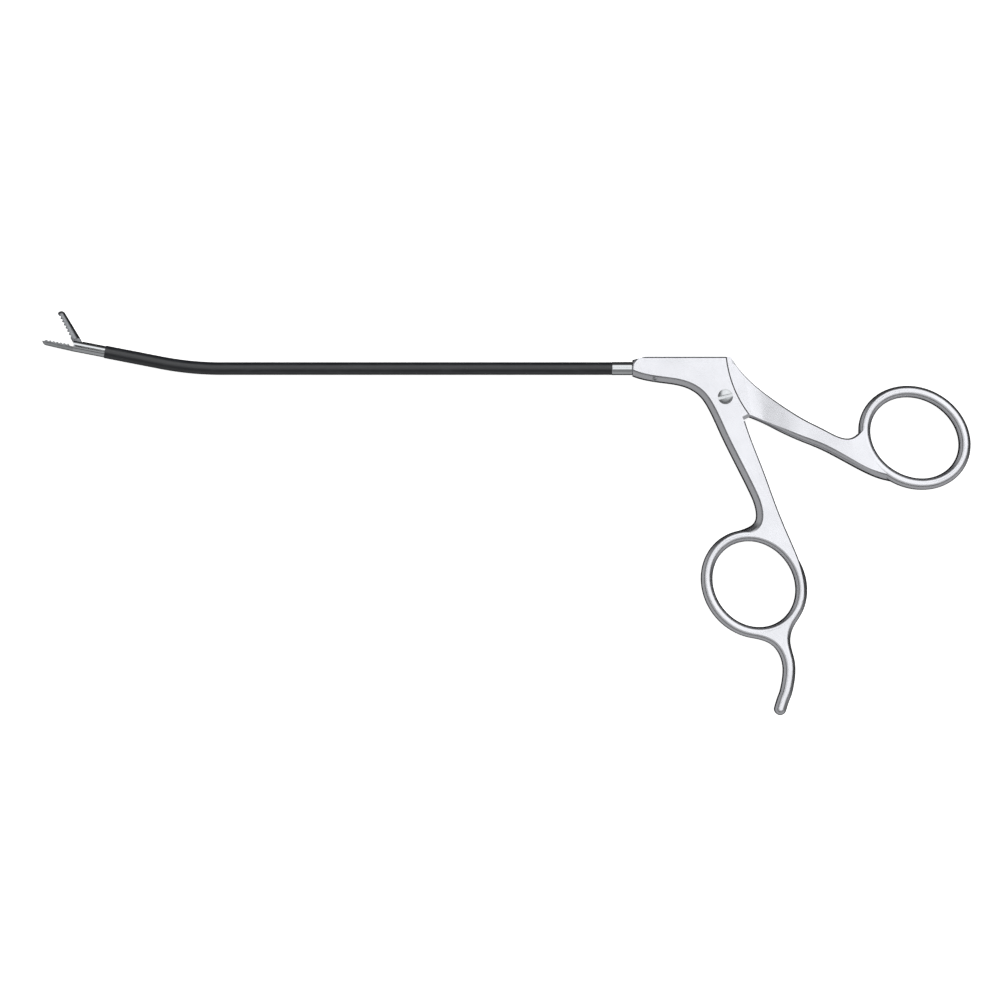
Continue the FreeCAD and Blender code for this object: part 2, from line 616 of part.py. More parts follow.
def blade_profile():
    """Side view of the rod's blade: it steps down from the rod to the link pin."""
    root = TIP_RUN + WINDOW_BACK + TRAVEL + 2 * BLADE_GAP
    top = LINK_N + BLADE_END_R
    bottom = LINK_N - BLADE_END_R
    edges = polygon_edges([(LINK_S, bottom), (root + 1.0, bottom), (root, -ROD_R), (root, ROD_R),
                           (root + 0.8, ROD_R), (root + 2.0, top), (LINK_S, top)])
    edges.append(arc(point(LINK_S, top), point(LINK_S + BLADE_END_R, LINK_N), point(LINK_S, bottom)))
    return slab(edges, -BLADE_W / 2, BLADE_W / 2)


def jaw_rod():
    """Tip rod: thin rear end for the crimp sleeve, round rod, and a flat blade with the pin's hole."""
    root = TIP_RUN + WINDOW_BACK + TRAVEL + 2 * BLADE_GAP
    rod = along_tip(CRIMP_L, root + 0.5, ROD_R).fuse(along_tip(CABLE_STUB + STUB_GAP, CRIMP_L, CABLE_R))
    rod = rod.fuse(blade_profile())
    rod = rod.cut(across_tip(LINK_R, THROUGH, Vector(LINK_S, LINK_N, 0)))
    return to_tip(rod.removeSplitter())


def link_pin():
    return to_tip(across_tip(LINK_R, JAW_TANG_T, Vector(LINK_S, LINK_N, 0)))


def jaw_pivot_pin():
    """Pin through the ears, ground flush with the round housing."""
    pin = across_tip(JAW_PIN_R, 2 * JAW_R, JAW_PIVOT)
    return to_tip(pin.common(along_tip(JAW_PIVOT.x - EAR_R, JAW_PIVOT.x + EAR_R, JAW_R)))


def tip_guide_bush():
    bush = along_tip(TIP_RUN - SPIGOT_L, TIP_RUN - SPIGOT_L + TIP_BUSH_L, TIP_BUSH_R)
    return to_tip(bush.cut(along_tip(TIP_RUN - SPIGOT_L - 1, TIP_RUN, ROD_R + ROD_GAP)))


def bullet(s_low, s_tip, n, root_r, tip_r):
    """A round body along the tip that tapers from root_r to tip_r and ends in a round nose."""
    shoulder = s_tip - tip_r
    profile = polygon_edges([(s_low, 0), (s_low, root_r), (JAW_PIVOT.x + EAR_R, root_r), (shoulder, tip_r)])
    nose = arc(point(shoulder, tip_r), point(shoulder + tip_r * math.sqrt(0.5), tip_r * math.sqrt(0.5)),
               point(s_tip, 0))
    face = Part.Face(Part.Wire(profile + [nose, line(point(s_tip, 0), point(s_low, 0))]))
    solid = face.revolve(Vector(0, 0, 0), Vector(1, 0, 0), 360)
    solid.translate(Vector(0, n, 0))
    return solid


def tooth_line(shift):
    """The zigzag of the teeth in side view, from the tip backwards, and flat behind them."""
    tip = JAW_PIVOT.x + JAW_L
    spots = [(tip + 2, shift - TOOTH_H / 2), (tip - TOOTH_LEAD, shift - TOOTH_H / 2)]
    for tooth in range(TOOTH_COUNT):
        start = tip - TOOTH_LEAD - tooth * TOOTH_PITCH
        spots.append((start - TOOTH_PITCH * 0.5, shift + TOOTH_H / 2))
        spots.append((start - TOOTH_PITCH, shift - TOOTH_H / 2))
    return spots


def fixed_jaw_region():
    """All that lies under the tooth line, back to the ears."""
    back = JAW_PIVOT.x - 0.5
    under = -2 * JAW_R
    spots = tooth_line(0) + [(back, -TOOTH_H / 2), (back, under), (JAW_PIVOT.x + JAW_L + 2, under)]
    return slab(polygon([point(s, n) for s, n in spots]), -JAW_R, JAW_R)


def moving_jaw_region():
    """All that lies over the tooth line, back to behind the ears."""
    back = JAW_PIVOT.x - EAR_R
    over = 2 * JAW_R
    spots = tooth_line(TOOTH_GAP) + [(back, TOOTH_GAP - TOOTH_H / 2), (back, over),
                                     (JAW_PIVOT.x + JAW_L + 2, over)]
    return slab(polygon([point(s, n) for s, n in spots]), -JAW_R, JAW_R)


def jaw_housing():
    """Tip tube with a spigot, two ears, a channel for the blade, and the fixed toothed jaw."""
    pivot = JAW_PIVOT
    barrel = along_tip(TIP_RUN, pivot.x, JAW_R)
    ears = across_tip(EAR_R, 2 * JAW_R, pivot).common(along_tip(TIP_RUN, pivot.x + EAR_R, JAW_R))
    jaw = bullet(pivot.x - 1, pivot.x + JAW_L, 0, JAW_R, LOWER_TIP_R).common(fixed_jaw_region())
    housing = barrel.fuse(ears).fuse(jaw)
    housing = housing.fuse(along_tip(TIP_RUN - SPIGOT_L, TIP_RUN, TUBE_BORE_R))
    window = TIP_RUN + WINDOW_BACK
    mouth = pivot.x - EAR_R - TIP_MOUTH_GAP
    front = pivot.x + JAW_CLEAR_R
    housing = housing.cut(tip_box(window, front, BLADE_FLOOR, ROD_R + WINDOW_GAP, EAR_SLOT_W))
    housing = housing.cut(tip_box(mouth, front, BLADE_FLOOR, THROUGH, EAR_SLOT_W))
    housing = housing.cut(along_tip(TIP_RUN - SPIGOT_L - 1, window + 1, ROD_R + 2 * ROD_GAP))
    housing = housing.cut(along_tip(TIP_RUN - SPIGOT_L - 1, TIP_RUN - SPIGOT_L + TIP_BUSH_L, TIP_BUSH_R))
    housing = housing.cut(across_tip(JAW_PIN_R, THROUGH, pivot))
    return to_tip(housing.removeSplitter())


def upper_jaw():
    """Moving toothed jaw with a clevis tang, modelled closed and turned to its open place."""
    pivot = JAW_PIVOT
    blank = bullet(pivot.x - EAR_R, pivot.x + JAW_L + TIP_LEAD, JAW_RISE, JAW_R, UPPER_TIP_R)
    blank = blank.common(moving_jaw_region())
    cleared = across_tip(JAW_CLEAR_R, THROUGH, pivot)
    wide = blank.cut(cleared).cut(tip_box(pivot.x - 5, pivot.x, -THROUGH, THROUGH, THROUGH))
    tongue = tip_box(pivot.x - 5, pivot.x + JAW_CLEAR_R + 0.6, -THROUGH, THROUGH, JAW_TANG_T)
    root = blank.common(tongue).common(across_tip(JAW_CLEAR_R + 0.6, THROUGH, pivot))
    ahead = tip_box(pivot.x, pivot.x + JAW_L, -THROUGH, THROUGH, THROUGH)
    root = root.common(across_tip(EAR_R, THROUGH, pivot).fuse(ahead))
    boss = across_tip(EAR_R - 0.1, JAW_TANG_T, pivot)
    jaw = wide.fuse(root).fuse(boss).fuse(crank_lobe())
    jaw = jaw.cut(clevis_gap())
    jaw = jaw.cut(across_tip(JAW_PIN_R + JAW_PIN_RUN, THROUGH, pivot)).cut(crank_slot())
    jaw = jaw.removeSplitter()
    jaw.rotate(pivot, UP, JAW_OPEN)
    return to_tip(jaw)


def crank_line(share):
    """A point on the crank's line, at a distance from the jaw pivot, with the jaw closed."""
    return JAW_PIVOT + Vector(-math.sin(HALF_OPEN), -math.cos(HALF_OPEN), 0) * share


def lozenge(near, far, radius, width):
    """A plate with two round ends, from near to far along the crank's line."""
    length = (far - near).Length
    plate = tip_box(0, length, -radius, radius, width)
    angle = math.degrees(math.atan2(far.y - near.y, far.x - near.x))
    plate.rotate(Vector(0, 0, 0), UP, angle)
    plate.translate(Vector(near.x, near.y, 0))
    return plate.fuse(across_tip(radius, width, near)).fuse(across_tip(radius, width, far))


def crank_lobe():
    reach = LINK_DROP / math.cos(HALF_OPEN)
    return lozenge(crank_line(0), crank_line(reach), LINK_R + LINK_GAP + LINK_WALL, JAW_TANG_T)


def crank_slot():
    reach = LINK_DROP / math.cos(HALF_OPEN)
    return lozenge(crank_line(LINK_DROP), crank_line(reach), LINK_R + LINK_GAP, THROUGH)


def clevis_gap():
    """The gap between the clevis cheeks that the blade passes through."""
    gap = BLADE_W + 2 * BLADE_GAP
    disc = across_tip(JAW_CLEAR_R + 0.1, gap, JAW_PIVOT)
    return disc.fuse(lozenge(crank_line(0), crank_line(THROUGH), 1.2, gap))


NODES = {
    "front_handle": front_handle,
    "rear_handle": rear_handle,
    "pivot_screw": pivot_screw,
    "shaft_set_screw": shaft_set_screw,
    "shaft_ferrule": shaft_ferrule,
    "rod_guide_bush": rod_guide_bush,
    "malleable_tube": malleable_tube,
    "insulation_sleeve": insulation_sleeve,
    "tube_liner": tube_liner,
    "rod_ball": rod_ball,
    "pull_rod": pull_rod,
    "rear_crimp": rear_crimp,
    "bend_cable": bend_cable,
    "front_crimp": front_crimp,
    "jaw_rod": jaw_rod,
    "link_pin": link_pin,
    "tip_guide_bush": tip_guide_bush,
    "jaw_housing": jaw_housing,
    "jaw_pivot_pin": jaw_pivot_pin,
    "upper_jaw": upper_jaw,
}

for node, make in NODES.items():
    shape = make()
    print("%-18s solids %d volume %9.3f valid %s"
          % (node, len(shape.Solids), shape.Volume, shape.isValid()))
    shape.exportStep("parts/%s.step" % node)
print("travel %.4f mm, handle swing %.4f degrees" % (TRAVEL, HANDLE_SWING))
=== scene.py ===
import math

import bpy
import numpy as np
from bpy.props import (
    FloatProperty, FloatVectorProperty, IntProperty, PointerProperty, StringProperty)
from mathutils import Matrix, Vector


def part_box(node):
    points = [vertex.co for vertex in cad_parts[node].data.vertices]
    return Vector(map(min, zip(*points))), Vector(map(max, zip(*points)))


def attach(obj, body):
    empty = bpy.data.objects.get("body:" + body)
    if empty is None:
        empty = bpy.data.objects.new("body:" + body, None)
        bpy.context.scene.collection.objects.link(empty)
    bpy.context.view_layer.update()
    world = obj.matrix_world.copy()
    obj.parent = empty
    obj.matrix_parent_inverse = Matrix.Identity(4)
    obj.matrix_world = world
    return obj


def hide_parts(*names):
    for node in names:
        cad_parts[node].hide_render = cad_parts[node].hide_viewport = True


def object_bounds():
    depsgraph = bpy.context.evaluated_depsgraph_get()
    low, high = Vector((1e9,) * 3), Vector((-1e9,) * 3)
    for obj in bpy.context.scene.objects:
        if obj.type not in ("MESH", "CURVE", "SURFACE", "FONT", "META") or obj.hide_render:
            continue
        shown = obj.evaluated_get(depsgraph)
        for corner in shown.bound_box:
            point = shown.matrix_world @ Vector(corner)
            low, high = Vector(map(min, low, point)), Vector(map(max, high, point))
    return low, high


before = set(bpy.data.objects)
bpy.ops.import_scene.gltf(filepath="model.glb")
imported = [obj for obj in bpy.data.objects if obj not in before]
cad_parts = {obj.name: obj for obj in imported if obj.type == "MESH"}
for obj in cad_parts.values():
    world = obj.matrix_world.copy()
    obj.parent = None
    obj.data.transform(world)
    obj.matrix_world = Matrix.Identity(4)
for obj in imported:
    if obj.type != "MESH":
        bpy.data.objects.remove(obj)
CAD_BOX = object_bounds()

bl_info = {
    "name": "Endoscopic grasping forceps",
    "version": (1, 0, 0),
    "blender": (4, 5, 0),
    "location": "View3D > Sidebar > Forceps",
    "description": "Finishes the packed forceps: steels, insulated shaft, collar and studio",
    "category": "Object",
}

MM = 0.001

SCREW_NODES = ("pivot_screw", "shaft_set_screw", "jaw_pivot_pin", "link_pin")
DRAWN_NODES = (
    "malleable_tube", "pull_rod", "rod_ball", "rear_crimp", "front_crimp", "bend_cable",
    "jaw_rod")
PLASTIC_NODES = ("rod_guide_bush", "tube_liner", "tip_guide_bush")

# The way each handle was brushed, as an angle from the X axis.
BRUSH_ANGLES = {"front_handle": math.radians(-62), "rear_handle": math.radians(-30)}

# Where the ground finish starts, along the tip from the jaws' pivot: the upper jaw is all ground.
GRIND_STARTS = {"jaw_housing": 0.6 * MM, "upper_jaw": -20 * MM}

# The insulation is up to this much thinner in places, and each of two waves turns by a radian
# over its length.
RIPPLE_DEPTH = 0.004 * MM
RIPPLE_LENGTHS = (3.1 * MM, 7.7 * MM)
RIPPLE_PHASE = 1.3

# The bore of a swept wall doesn't show, and has one ring of points for this many outside.
BORE_SPACING = 8

# Nearly all of a noise lies between these values.
NOISE_LOW, NOISE_HIGH = 0.3, 0.7

# A wave texture of scale 1 repeats every 2 pi / 20.
WAVE_PERIOD = 0.314

# The dome's light is a very little blue.
DOME_TINT = (0.98, 0.99, 1.0, 1.0)

# The dark gap over the reflector takes away this share of its light.
GAP_DEPTH = 0.8

# The camera's boom leans: it moves this far along X for each step along Y.
BOOM_LEAN = 0.19

# The key light's width and height, its place and the point that it faces, in metres.
KEY_SIZE = (1.2, 0.8)
KEY_PLACE = (0.75, 0.85, 1.3)
KEY_AIM = (-0.05, -0.02, 0.0)

# The camera's sensor in millimetres, and how far it sees in metres.
SENSOR_WIDTH = 36.0
FAR_CLIP = 20.0


def span(node):
    """Lowest and highest corners of a node in metres, as arrays."""
    low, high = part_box(node)
    return np.array(low), np.array(high)


COLLAR_LOW, COLLAR_HIGH = span("shaft_ferrule")
SHAFT_Y = float((COLLAR_LOW[1] + COLLAR_HIGH[1]) / 2)
SHAFT_Z = float((COLLAR_LOW[2] + COLLAR_HIGH[2]) / 2)


class StageSettings(bpy.types.PropertyGroup):
    """Floor, camera and light"""
    floor_colour: StringProperty(
        name="Floor colour", description="sRGB colour of the pale floor", default="#F7F7F7")
    floor_size: FloatProperty(
        name="Floor size", description="Edge of the square floor", default=6.0, min=1.0,
        unit="LENGTH", subtype="DISTANCE")
    floor_gap: FloatProperty(
        name="Floor gap", description="Gap under the flats, so that floor and flats share no plane",
        default=0.1 * MM, min=0.0, unit="LENGTH", subtype="DISTANCE")
    picture_width: FloatProperty(
        name="Picture width", description="Width that the camera sees at the instrument",
        default=0.30303, min=0.05, unit="LENGTH", subtype="DISTANCE")
    camera_height: FloatProperty(
        name="Camera height", description="Height of the camera over the floor", default=1.5,
        min=0.3, unit="LENGTH", subtype="DISTANCE")
    camera_centre: FloatVectorProperty(
        name="Picture centre", description="Place under the camera, in the plane of the handles",
        default=(-0.06833, -0.03133), size=2, unit="LENGTH", subtype="TRANSLATION")
    light_from: FloatVectorProperty(
        name="Light from", description="Middle of the bright part of the studio dome",
        default=(0.25, 0.45, 0.857), size=3, subtype="DIRECTION")
    cap_level: FloatProperty(
        name="Bright dome", description="Brightness of the dome's bright part", default=1.33,
        min=0.0)
    side_level: FloatProperty(
        name="Reflector", description="Brightness of the grey reflector opposite the light",
        default=0.42, min=0.0)
    shade_level: FloatProperty(
        name="Dark side", description="Brightness of the dark studio under the light",
        default=0.06, min=0.0)
    boom_level: FloatProperty(
        name="Camera boom", description="Brightness of the camera's boom against the dome",
        default=0.03, min=0.0, max=1.0, subtype="FACTOR")
    key_power: FloatProperty(
        name="Key light", description="Power of the soft key light", default=6.0, min=0.0,
        unit="POWER")


class SteelSettings(bpy.types.PropertyGroup):
    """Colours and finish of the steel"""
    handle_colour: StringProperty(
        name="Handles", description="sRGB colour of the satin steel", default="#DFDFE3")
    jaw_colour: StringProperty(
        name="Jaws", description="sRGB colour of the polished jaw steel", default="#D2D4D6")
    # The two jaws are one ground steel in two tones, lit and shaded copies. The lower jaw's grey is
    # painted lighter, as painted light that stands in for the light the camera's boom takes from
    # it. The upper jaw's grey is painted darker, as painted shade.
    lower_jaw_painted_light_colour: StringProperty(
        name="Lower jaw", description="sRGB colour of the ground lower jaw", default="#CDCFD1")
    upper_jaw_painted_shade_colour: StringProperty(
        name="Upper jaw", description="sRGB colour of the ground upper jaw", default="#96989B")
    drawn_colour: StringProperty(
        name="Drawn steel", description="sRGB colour of tubes and rods", default="#C9CBCC")
    brush_width: FloatProperty(
        name="Brush line", description="Width of the finest brushed line that shows",
        default=0.22 * MM, min=0.01 * MM, unit="LENGTH", subtype="DISTANCE")
    handle_roughness: FloatProperty(
        name="Satin roughness", description="Roughness of the handles", default=0.18, min=0.02,
        max=1.0, subtype="FACTOR")
    tooling_pitch: FloatProperty(
        name="Turning marks", description="Spacing of the turning marks on screws and collar",
        default=0.16 * MM, min=0.02 * MM, unit="LENGTH", subtype="DISTANCE")


class SleeveSettings(bpy.types.PropertyGroup):
    """Colours and shape of the insulation, and the bend of the shaft"""
    colour: StringProperty(
        name="Colour", description="sRGB colour of the black insulation", default="#1B1C20")
    worn_colour: StringProperty(
        name="Rubbed colour", description="sRGB colour where the insulation is rubbed",
        default="#2C2E32")
    outer_radius: FloatProperty(
        name="Outer radius", description="Radius of the insulated shaft",
        default=1.93 * MM, min=0.5 * MM, unit="LENGTH", subtype="DISTANCE")
    inner_radius: FloatProperty(
        name="Inner radius", description="Radius of the tube inside the insulation",
        default=1.62 * MM, min=0.2 * MM, unit="LENGTH", subtype="DISTANCE")
    rim: FloatProperty(
        name="Rim", description="Rounding of the cut ends", default=0.14 * MM, min=0.0,
        unit="LENGTH", subtype="DISTANCE")
    bend_start: FloatProperty(
        name="Bend start", description="Place along X where the bend starts",
        default=-153.0 * MM, unit="LENGTH", subtype="DISTANCE")
    bend_radius: FloatProperty(
        name="Bend radius", description="Radius of the bend", default=95.0 * MM, min=10 * MM,
        unit="LENGTH", subtype="DISTANCE")
    bend_angle: FloatProperty(
        name="Bend angle", description="Angle of the bend", default=math.radians(11.0), min=0.0,
        subtype="ANGLE")
    tip_run: FloatProperty(
        name="Tip run", description="Straight stretch after the bend", default=17.5 * MM,
        min=0.0, unit="LENGTH", subtype="DISTANCE")


class CollarSettings(bpy.types.PropertyGroup):
    """Shape of the bright collar"""
    radius: FloatProperty(
        name="Radius", description="Radius of the bright collar", default=2.0 * MM,
        min=0.5 * MM, unit="LENGTH", subtype="DISTANCE")
    rim: FloatProperty(
        name="Rim", description="Rounding of the collar's rims", default=0.25 * MM, min=0.0,
        unit="LENGTH", subtype="DISTANCE")
    rim_steps: IntProperty(
        name="Rim steps", description="Points along each rounding", default=7, min=2, max=24)


def linear(colour):
    """An sRGB hex colour as linear RGBA."""
    values = np.array([int(colour[i:i + 2], 16) for i in (1, 3, 5)]) / 255.0
    values = np.where(values <= 0.04045, values / 12.92, ((values + 0.055) / 1.055) ** 2.4)
    return (*[float(v) for v in values], 1.0)


def shade(colour, share):
    """A linear colour made lighter or darker by a share."""
    return (*[min(1.0, c * share) for c in colour[:3]], 1.0)


def feed(tree, node, inputs):
    """Give a node its inputs: each is a value, a socket, or a node, for its first output."""
    for key, value in inputs.items():
        if isinstance(value, bpy.types.Node):
            value = value.outputs[0]
        if isinstance(value, bpy.types.NodeSocket):
            tree.links.new(value, node.inputs[key])
        else:
            node.inputs[key].default_value = value


def add(tree, kind, settings=None, inputs=None, stops=()):
    """Add a node with its settings, its inputs and, on a colour ramp, two (place, RGBA) stops."""
    made = tree.nodes.new(kind)
    for name, value in (settings or {}).items():
        setattr(made, name, value)
    feed(tree, made, inputs or {})
    for index, (place, colour) in enumerate(stops):
        element = made.color_ramp.elements[index]
        element.position = place
        element.color = colour
    return made


def new_material(name, **shader):
    """A material with one Principled shader, whose values are set on its own sockets."""
    material = bpy.data.materials.new(name)
    material.use_nodes = True
    tree = material.node_tree
    tree.nodes.clear()
    values = {key.replace("_", " "): value for key, value in shader.items()}
    surface = add(tree, "ShaderNodeBsdfPrincipled", None, values)
    add(tree, "ShaderNodeOutputMaterial", None, {"Surface": surface})
    return material, tree, surface


def satin_steel(name, colour, roughness, line_width, angle):
    """Martensitic stainless steel, forged, ground and brushed by hand to a satin finish.

    The brush leaves fine lines along the handle, 25 times as long as wide, which spread the
    highlights across it. They are drawn wider than real ones, so that they show. The polishing
    wheel leaves patches of slightly different tone, and flecks of different gloss.
    """
    patch, fleck = 8 * MM, 2 * MM
    line_shape = (1 / 25, 1, 1)
    line_depth = 0.02 * MM
    spread = 0.10
    base = linear(colour)
    material, tree, surface = new_material(name, Metallic=1.0)
    place = add(tree, "ShaderNodeTexCoord").outputs["Object"]
    turned = add(tree, "ShaderNodeMapping", None, {"Vector": place, "Rotation": (0, 0, -angle)})
    stretched = add(tree, "ShaderNodeMapping", None, {"Vector": turned, "Scale": line_shape})
    lines = add(tree, "ShaderNodeTexNoise", None,
                {"Vector": stretched, "Scale": 1 / line_width, "Detail": 3.0, "Roughness": 0.6})
    patches = add(tree, "ShaderNodeTexNoise", None,
                  {"Vector": place, "Scale": 1 / patch, "Detail": 2.0})
    flecks = add(tree, "ShaderNodeTexNoise", None,
                 {"Vector": place, "Scale": 1 / fleck, "Detail": 4.0})
    tone = add(tree, "ShaderNodeValToRGB", None, {"Fac": patches},
               [(NOISE_LOW, shade(base, 0.965)), (NOISE_HIGH, shade(base, 1.02))])
    worn = add(tree, "ShaderNodeMath", {"operation": "MULTIPLY_ADD"},
               {0: flecks, 1: spread, 2: roughness - spread / 2})
    gloss = add(tree, "ShaderNodeMath", {"operation": "MULTIPLY_ADD"},
                {0: lines, 1: spread, 2: worn})
    bump = add(tree, "ShaderNodeBump", None,
               {"Height": lines, "Strength": 0.10, "Distance": line_depth})
    feed(tree, surface, {"Base Color": tone, "Roughness": gloss, "Normal": bump})
    return material


def turned_steel(name, colour, roughness, pitch, centre, axis):
    """Stainless bar turned on a lathe: fine rings about its axis draw the light into a fan.

    The rings are drawn wider apart than real ones, so that they show. Handling has left a
    mottle 0.7 mm wide in tone and gloss.
    """
    mottle_width = 0.7 * MM
    ring_depth = 0.01 * MM
    spread = 0.12
    base = linear(colour)
    material, tree, surface = new_material(name, Metallic=1.0)
    place = add(tree, "ShaderNodeTexCoord").outputs["Object"]
    centred = add(tree, "ShaderNodeMapping", None,
                  {"Vector": place, "Location": [-c for c in centre]})
    rings = add(tree, "ShaderNodeTexWave",
                {"wave_type": "RINGS" if axis == "Z" else "BANDS", "rings_direction": "Z",
                 "bands_direction": "X"},
                {"Vector": centred, "Scale": WAVE_PERIOD / pitch, "Distortion": 0.6,
                 "Detail": 2.0})
    mottle = add(tree, "ShaderNodeTexNoise", None,
                 {"Vector": place, "Scale": 1 / mottle_width, "Detail": 3.0})
    tone = add(tree, "ShaderNodeValToRGB", None, {"Fac": mottle},
               [(NOISE_LOW, shade(base, 0.93)), (NOISE_HIGH, shade(base, 1.03))])
    gloss = add(tree, "ShaderNodeMath", {"operation": "MULTIPLY_ADD"},
                {0: mottle, 1: spread, 2: roughness - spread / 2})
    bump = add(tree, "ShaderNodeBump", None,
               {"Height": rings.outputs["Fac"], "Strength": 0.12, "Distance": ring_depth})
    feed(tree, surface, {"Base Color": tone, "Roughness": gloss, "Normal": bump})
    return material


def jaw_steel(name, polished, ground, start, along):
    """Hardened stainless jaws: a polished barrel, and jaws ground lengthwise, which are grey.

    The finish changes from polished to ground over a millimetre along the tip, from the start
    on. Grinding lines are 0.12 mm apart, drawn wider than real ones so that they show, and run
    along the jaw. A few pin pricks of the tumbling, 0.25 mm wide, show in the polish.
    """
    line_width, pit_width = 0.12 * MM, 0.25 * MM
    line_shape = (0.08, 1, 1)
    line_depth = 0.03 * MM
    change = 1.0 * MM
    polished_roughness, ground_extra, spread = 0.04, 0.24, 0.06
    pit, no_pit = 0.28, 0.5
    # The ground grey is the finish's grey together with each jaw's painted tone: lighter, painted
    # light, on the lower jaw, and darker, painted shade, on the upper jaw.
    bright, grey = linear(polished), linear(ground)
    heading = math.atan2(along.y, along.x)
    material, tree, surface = new_material(name, Metallic=1.0)
    place = add(tree, "ShaderNodeTexCoord").outputs["Object"]
    reach = add(tree, "ShaderNodeVectorMath", {"operation": "DOT_PRODUCT"},
                {0: place, 1: along}).outputs["Value"]
    share = add(tree, "ShaderNodeMapRange", {"interpolation_type": "SMOOTHSTEP"},
                {"Value": reach, "From Min": start, "From Max": start + change})
    turned = add(tree, "ShaderNodeMapping", None,
                 {"Vector": place, "Rotation": (0, 0, -heading)})
    stretched = add(tree, "ShaderNodeMapping", None, {"Vector": turned, "Scale": line_shape})
    lines = add(tree, "ShaderNodeTexNoise", None,
                {"Vector": stretched, "Scale": 1 / line_width, "Detail": 2.0})
    pits = add(tree, "ShaderNodeTexNoise", None,
               {"Vector": place, "Scale": 1 / pit_width, "Detail": 3.0})
    polish = add(tree, "ShaderNodeValToRGB", None, {"Fac": pits},
                 [(pit, shade(bright, 0.84)), (no_pit, bright)])
    grind = add(tree, "ShaderNodeValToRGB", None, {"Fac": lines},
                [(NOISE_LOW, shade(grey, 0.62)), (NOISE_HIGH, shade(grey, 1.12))])
    tone = add(tree, "ShaderNodeMix", {"data_type": "RGBA"}, {0: share, 6: polish, 7: grind})
    even = add(tree, "ShaderNodeMath", {"operation": "MULTIPLY_ADD"},
               {0: share, 1: ground_extra, 2: polished_roughness})
    gloss = add(tree, "ShaderNodeMath", {"operation": "MULTIPLY_ADD"},
                {0: pits, 1: spread, 2: even})
    depth = add(tree, "ShaderNodeMath", {"operation": "MULTIPLY"}, {0: lines, 1: share})
    bump = add(tree, "ShaderNodeBump", None,
               {"Height": depth, "Strength": 0.5, "Distance": line_depth})
    feed(tree, surface, {"Base Color": tone.outputs[2], "Roughness": gloss, "Normal": bump})
    return material


def drawn_steel(name, colour):
    """Annealed stainless tube and wire as drawn: grey, with long die lines 0.1 mm wide."""
    line_width = 0.1 * MM
    line_shape = (1 / 50, 1, 1)
    smoothest, spread = 0.25, 0.2
    base = linear(colour)
    material, tree, surface = new_material(name, Metallic=1.0)
    place = add(tree, "ShaderNodeTexCoord").outputs["Object"]
    stretched = add(tree, "ShaderNodeMapping", None, {"Vector": place, "Scale": line_shape})
    lines = add(tree, "ShaderNodeTexNoise", None,
                {"Vector": stretched, "Scale": 1 / line_width})
    tone = add(tree, "ShaderNodeValToRGB", None, {"Fac": lines},
               [(NOISE_LOW, shade(base, 0.85)), (NOISE_HIGH, base)])
    gloss = add(tree, "ShaderNodeMath", {"operation": "MULTIPLY_ADD"},
                {0: lines, 1: spread, 2: smoothest})
    feed(tree, surface, {"Base Color": tone, "Roughness": gloss})
    return material


def moulded_fluoropolymer(name):
    """Natural fluoropolymer, extruded or turned: waxy, off white, with clouds 1.5 mm wide."""
    cloud_width = 1.5 * MM
    base = linear("#E6E3DA")
    material, tree, surface = new_material(
        name, IOR=1.38, Roughness=0.42, Subsurface_Weight=0.1, Subsurface_Scale=0.8 * MM)
    place = add(tree, "ShaderNodeTexCoord").outputs["Object"]
    cloud = add(tree, "ShaderNodeTexNoise", None, {"Vector": place, "Scale": 1 / cloud_width})
    tone = add(tree, "ShaderNodeValToRGB", None, {"Fac": cloud},
               [(NOISE_LOW, shade(base, 0.93)), (NOISE_HIGH, base)])
    feed(tree, surface, {"Base Color": tone})
    return material


def extruded_insulation(name, colour, worn):
    """Black heat-shrunk polyolefin over the tube: satin, with faint lengthwise extrusion streaks.

    The piece's own UV map runs along the shaft in V and round it in U, both in metres, so that
    the streaks follow the bend. Streaks are 0.3 mm wide and 50 times as long. Rubbed patches
    are 2 mm wide and some 6 mm long.
    """
    streak_width, rub_width = 0.3 * MM, 2 * MM
    streak_shape, rub_shape = (1, 0.02, 1), (1, 0.3, 1)
    streak_depth = 0.03 * MM
    smoothest, rub_spread, streak_spread = 0.20, 0.14, 0.10
    unrubbed, all_rubbed = 0.45, 0.85
    dark, rubbed = linear(colour), linear(worn)
    material, tree, surface = new_material(name, IOR=1.49, Specular_IOR_Level=0.75)
    along = add(tree, "ShaderNodeUVMap", {"uv_map": "shaft"})
    streak_map = add(tree, "ShaderNodeMapping", None, {"Vector": along, "Scale": streak_shape})
    streaks = add(tree, "ShaderNodeTexNoise", {"noise_dimensions": "2D"},
                  {"Vector": streak_map, "Scale": 1 / streak_width, "Detail": 3.0})
    rub_map = add(tree, "ShaderNodeMapping", None, {"Vector": along, "Scale": rub_shape})
    rubs = add(tree, "ShaderNodeTexNoise", {"noise_dimensions": "2D"},
               {"Vector": rub_map, "Scale": 1 / rub_width, "Detail": 5.0, "Roughness": 0.65})
    tone = add(tree, "ShaderNodeValToRGB", None, {"Fac": rubs},
               [(unrubbed, dark), (all_rubbed, rubbed)])
    satin = add(tree, "ShaderNodeMath", {"operation": "MULTIPLY_ADD"},
                {0: rubs, 1: rub_spread, 2: smoothest})
    gloss = add(tree, "ShaderNodeMath", {"operation": "MULTIPLY_ADD"},
                {0: streaks, 1: streak_spread, 2: satin})
    bump = add(tree, "ShaderNodeBump", None,
               {"Height": streaks, "Strength": 0.25, "Distance": streak_depth})
    feed(tree, surface, {"Base Color": tone, "Roughness": gloss, "Normal": bump})
    return material


